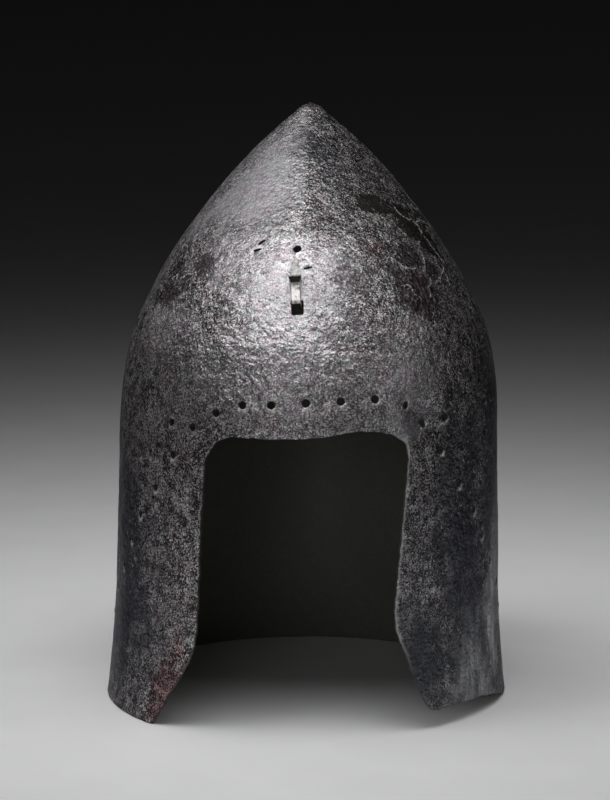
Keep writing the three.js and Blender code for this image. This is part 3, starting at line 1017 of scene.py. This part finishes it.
class Nodes:
    """Short ways to add nodes to a new material."""

    def __init__(self, name):
        self.material = bpy.data.materials.new(name)
        self.material.use_nodes = True
        self.tree = self.material.node_tree
        self.shader = self.tree.nodes["Principled BSDF"]
        self.place = self.tree.nodes.new("ShaderNodeTexCoord").outputs["Object"]

    def put(self, value, socket):
        if isinstance(value, bpy.types.NodeSocket):
            self.tree.links.new(value, socket)
        else:
            socket.default_value = value

    def noise(self, size, detail, roughness, place=None):
        node = self.tree.nodes.new("ShaderNodeTexNoise")
        self.put(place or self.place, node.inputs["Vector"])
        node.inputs["Scale"].default_value = 1 / (size * MM)
        node.inputs["Detail"].default_value = detail
        node.inputs["Roughness"].default_value = roughness
        return node.outputs["Fac"]

    def stretched(self, x, y, z):
        node = self.tree.nodes.new("ShaderNodeMapping")
        self.put(self.place, node.inputs["Vector"])
        node.inputs["Scale"].default_value = (x, y, z)
        return node.outputs["Vector"]

    def value(self, name):
        node = self.tree.nodes.new("ShaderNodeAttribute")
        node.attribute_name = name
        return node.outputs["Fac"]

    def math(self, operation, a, b):
        node = self.tree.nodes.new("ShaderNodeMath")
        node.operation = operation
        self.put(a, node.inputs[0])
        self.put(b, node.inputs[1])
        return node.outputs[0]

    def part(self, value, share):
        return self.math("MULTIPLY", value, share)

    def total(self, first, *others):
        return self.math("ADD", first, self.total(*others)) if others else first

    def between(self, value, low, high, to_low=0.0, to_high=1.0):
        """Maps a value from one range to another, with soft ends."""
        node = self.tree.nodes.new("ShaderNodeMapRange")
        node.interpolation_type = "SMOOTHSTEP"
        self.put(value, node.inputs["Value"])
        node.inputs["From Min"].default_value = low
        node.inputs["From Max"].default_value = high
        node.inputs["To Min"].default_value = to_low
        node.inputs["To Max"].default_value = to_high
        return node.outputs["Result"]

    def mix(self, share, a, b, blend="MIX"):
        node = self.tree.nodes.new("ShaderNodeMix")
        node.data_type = "RGBA"
        node.blend_type = blend
        self.put(share, node.inputs["Factor"])
        for value, socket in ((a, node.inputs["A"]), (b, node.inputs["B"])):
            self.put(value if isinstance(value, bpy.types.NodeSocket) else (*value, 1), socket)
        return node.outputs["Result"]

    def ramp(self, value, stops):
        node = self.tree.nodes.new("ShaderNodeValToRGB")
        self.put(value, node.inputs["Fac"])
        elements = node.color_ramp.elements
        while len(elements) < len(stops):
            elements.new(0.5)
        for element, (position, colour) in zip(elements, stops):
            element.position = position
            element.color = (*colour, 1)
        return node.outputs["Color"]

    def bump(self, height, distance):
        node = self.tree.nodes.new("ShaderNodeBump")
        self.put(height, node.inputs["Height"])
        node.inputs["Distance"].default_value = distance * MM
        node.inputs["Strength"].default_value = 1
        return node.outputs["Normal"]

    def finish(self, colour, roughness, normal, metallic, grazing=(1, 1, 1, 1)):
        self.put(colour, self.shader.inputs["Base Color"])
        self.put(roughness, self.shader.inputs["Roughness"])
        self.put(normal, self.shader.inputs["Normal"])
        self.put(metallic, self.shader.inputs["Metallic"])
        self.put(grazing, self.shader.inputs["Specular Tint"])
        return self.material


def plate_masks(n, made):
    """Where each coat lies, with scale, stains and seams broken up by noise."""
    masks = {kind: n.value(kind) for kind in EVEN_OUTLINES}
    broken = n.part(n.math("SUBTRACT", made["breaks"], NOISE_MIDDLE), BREAK_REACH)
    for kind, softness in BROKEN_OUTLINES.items():
        moved = n.math("ADD", n.value(kind), broken)
        masks[kind] = n.between(moved, OUTLINE - softness, OUTLINE + softness)
    seam = n.math("MULTIPLY", n.value("seam"), n.between(made["gaps"], *SEAM_GAPS))
    # the seams' pale metal and the lips' painted highlight make one coat
    masks["lip"] = n.math("MAXIMUM", seam, n.value("lip"))
    return masks


def plate_colour(n, made, masks):
    """Speckled iron, darker in clouds, under its coats. A coat without a mask lies all over."""
    speck = n.total(*(n.part(made[name], share) for name, share in SPECKLE))
    streaks = n.noise(*STREAK_NOISE, n.stretched(*STREAK_STRETCH))
    coats = {
        "worn": n.ramp(speck, PAINTED_HIGHLIGHT_TONES),
        "satin": n.ramp(made["grain"], SMOOTH),
        "tint": n.ramp(made["tints"], TINTS),
        "blue": n.ramp(speck, DULL_AND_SHADE_TONES),
        "streak": n.ramp(streaks, PAINTED_REFLECTION_TONES),
        **PLAIN_COATS,
    }
    colour = n.ramp(speck, SPECKS_AND_GLINTS)
    colour = n.mix(n.between(made["clouds"], *CLOUD_RANGE), colour, CLOUD_SHADE, "MULTIPLY")
    for kind, share in COATS.items():
        hides = n.part(masks[kind], share) if kind in masks else share
        blend = "MULTIPLY" if kind in SHADING_COATS else "MIX"
        colour = n.mix(hides, colour, coats[kind], blend)
    return colour


def plate_material():
    """Oxidised iron, finely pitted, with scale and stains, and with painted highlights, painted shade and a
    painted reflection where the plate's values put them.
    """
    n = Nodes("pitted_iron")
    made = {name: n.noise(*row) for name, row in PLATE_NOISE.items()}
    masks = plate_masks(n, made)
    colour = plate_colour(n, made, masks)
    satin, scale, hollow = (n.part(masks[kind], share) for kind, share in EVENED_COATS)
    even = n.math("MAXIMUM", n.math("MAXIMUM", satin, scale), hollow)
    height = n.total(n.part(made["grain"], GRAIN_HEIGHT), made["wrinkles"], made["folds"])
    height = n.math("MULTIPLY", height, n.between(even, 0, 1, 1, 0))
    sheen = n.math("ADD", made["grain"], n.part(masks["scale"], SCALE_DULLS))
    sheen = n.math("SUBTRACT", sheen, n.part(masks["blue"], BLUE_SHINES))
    roughness = n.between(sheen, *PLATE_ROUGHNESS)
    metallic = n.between(masks["hollow"], 0, 1, PLATE_METALLIC, 0)
    return n.finish(colour, roughness, n.bump(height, PLATE_BUMP), metallic, DULL_GRAZING)


def hook_material():
    """Forged iron, pale as a painted highlight of its lit faces, with painted shade on the faces that look
    down.
    """
    n = Nodes("forged_iron")
    grain = n.noise(*HOOK_GRAIN)
    clumps = n.noise(*HOOK_CLUMPS)
    tone = n.math("ADD", n.part(grain, HOOK_GRAIN_SHARE), n.part(clumps, HOOK_CLUMP_SHARE))
    colour = n.mix(n.part(n.value("painted_shade"), PAINTED_SHADE_SHARE), n.ramp(tone, HOOK_HIGHLIGHT_TONES), PAINTED_SHADE_COLOUR)
    height = n.math("ADD", n.part(grain, HOOK_GRAIN_HEIGHT), clumps)
    roughness = n.between(grain, *HOOK_ROUGHNESS)
    return n.finish(colour, roughness, n.bump(height, HOOK_BUMP), HOOK_METALLIC, DULL_GRAZING)


def floor_material():
    n = Nodes("pale_floor")
    colour = n.ramp(n.noise(*FLOOR_MOTTLE), FLOOR_TONES)
    return n.finish(colour, FLOOR_ROUGHNESS, n.bump(n.noise(*FLOOR_GRAIN), FLOOR_BUMP), 0.0)


# Stage, camera and lights

CAMERA_AIM = (-0.00034, -0.00316, 0.155)
CAMERA_AZIMUTH = 4
CAMERA_ELEVATION = 10
CAMERA_DISTANCE = 1.9
SENSOR = 36
FOCAL_PIXELS = 3645
FRAME_HEIGHT_PIXELS = 800
FLOOR_SIZE = 40


def direction(azimuth, elevation):
    """From the object outwards; azimuth 0 is in front of the face and 90 is to the wearer's left."""
    a, e = math.radians(azimuth), math.radians(elevation)
    return Vector((math.sin(a) * math.cos(e), -math.cos(a) * math.cos(e), math.sin(e)))


def make_camera():
    data = bpy.data.cameras.new("camera")
    data.sensor_width = SENSOR
    data.lens = SENSOR * FOCAL_PIXELS / FRAME_HEIGHT_PIXELS
    camera = bpy.data.objects.new("camera", data)
    back = direction(CAMERA_AZIMUTH, CAMERA_ELEVATION)
    camera.location = Vector(CAMERA_AIM) + back * CAMERA_DISTANCE
    camera.rotation_euler = (-back).to_track_quat("-Z", "Y").to_euler()
    bpy.context.scene.collection.objects.link(camera)
    bpy.context.scene.camera = camera


def make_floor():
    mesh = bpy.data.meshes.new("floor")
    far = FLOOR_SIZE / 2
    mesh.from_pydata([(-far, -far, 0), (far, -far, 0), (far, far, 0), (-far, far, 0)], [], [(0, 1, 2, 3)])
    floor = bpy.data.objects.new("floor", mesh)
    floor.data.materials.append(floor_material())
    bpy.context.scene.collection.objects.link(floor)


# Soft boxes: name, azimuth, elevation, distance, width, height, spread of the beam in degrees, watts.
SOFT_BOXES = (
    ("front_key", -2, 59, 1.2, 0.7, 0.6, 65, 0.6),
    ("left_key", -58, 57, 1.2, 0.7, 0.7, 65, 0.82),
    ("left_back", -112, 46, 1.2, 0.7, 0.6, 65, 0.23),
    ("left_low", -137, 22, 1.2, 0.5, 0.5, 75, 0.1),
    ("right_top", 40, 66, 1.2, 0.6, 0.6, 65, 0.38),
    ("right_fill", 84, 50, 1.2, 0.6, 0.5, 65, 0.22),
    ("right_low", 62, 14, 1.5, 0.4, 0.4, 60, 0.1),
    ("front_low", -8, 9, 1.6, 0.9, 0.45, 45, 0.18),
    ("overhead", 0, 80, 3.0, 1.5, 1.5, 180, 0.7),
)
LIT_POINT = (0, 0, 0.17)
WORLD_GREY = 0.004


def make_lights():
    for name, azimuth, elevation, distance, width, height, spread, watts in SOFT_BOXES:
        data = bpy.data.lights.new(name, "AREA")
        data.shape = "RECTANGLE"
        data.size = width
        data.size_y = height
        data.spread = math.radians(spread)
        data.energy = watts
        light = bpy.data.objects.new(name, data)
        towards = direction(azimuth, elevation)
        light.location = Vector(LIT_POINT) + towards * distance
        light.rotation_euler = (-towards).to_track_quat("-Z", "Y").to_euler()
        light.visible_camera = False
        bpy.context.scene.collection.objects.link(light)
    world = bpy.data.worlds.new("studio")
    world.use_nodes = True
    world.node_tree.nodes["Background"].inputs["Color"].default_value = (WORLD_GREY,) * 3 + (1,)
    bpy.context.scene.world = world


def dress(piece, node, material):
    """Gives a piece its material and puts it in the place of a node of the solid."""
    piece.data.materials.clear()
    piece.data.materials.append(material)
    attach(piece, "root")
    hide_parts(node)


bpy.context.scene.view_settings.view_transform = "Standard"
make_camera()
make_floor()
make_lights()
dress(mesh_object("bowl_plate", *bowl_mesh()), "bowl", plate_material())
dress(hook_object(), "brow_hook", hook_material())
